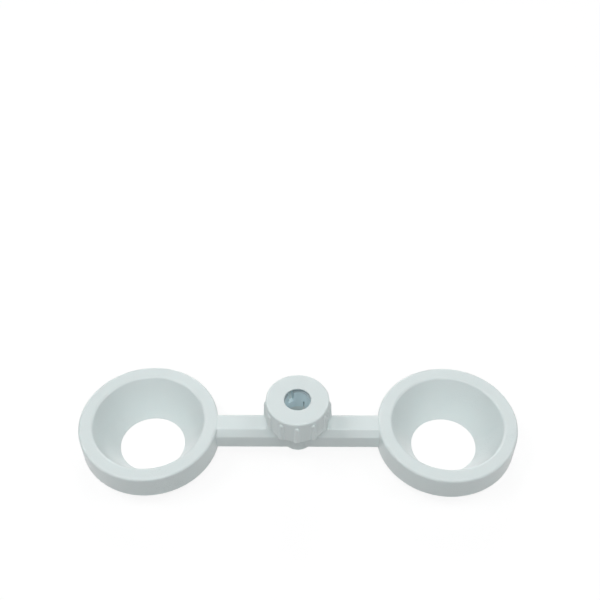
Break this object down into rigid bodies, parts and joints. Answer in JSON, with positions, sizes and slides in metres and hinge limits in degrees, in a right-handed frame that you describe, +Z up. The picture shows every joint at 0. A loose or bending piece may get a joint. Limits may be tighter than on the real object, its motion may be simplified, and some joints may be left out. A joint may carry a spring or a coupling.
{
  "type": "filter funnel rack",
  "caption": "Double filter funnel holder: conical seats with flat rims on chamfered arms, and a ribbed collet nut that grips a stand's upright rod.",
  "frame": {"origin": "on the rod's axis, at the height of the seats' lower ends, on which the holder rests", "axes": "+X along the arms to one seat, +Z up the rod towards the nut"},
  "size_m": [0.236, 0.075, 0.0421],
  "materials": {
    "holder": "white polypropylene, satin moulded face",
    "collet": "pale blue-grey plastic, matte",
    "nut": "white polypropylene, satin moulded face"
  },
  "bodies": {
    "holder": {"holder_body": "holder"},
    "collet": {"clamp_collet": "collet"},
    "nut": {"clamp_nut": "nut"}
  },
  "joints": [
    {"name": "collet_slide", "type": "slide", "parent": "holder", "child": "collet", "axis": [0, 0, 1], "range_m": [0, 0.005]},
    {"name": "nut_turn", "type": "hinge", "parent": "collet", "child": "nut", "pos_m": [0, 0, 0.0351], "axis": [0, 0, 1], "range_deg": [0, 720]}
  ],
  "couplings": [
    {"joint": "collet_slide", "follows": "nut_turn", "m_per_rad": 0.00039789}
  ]
}
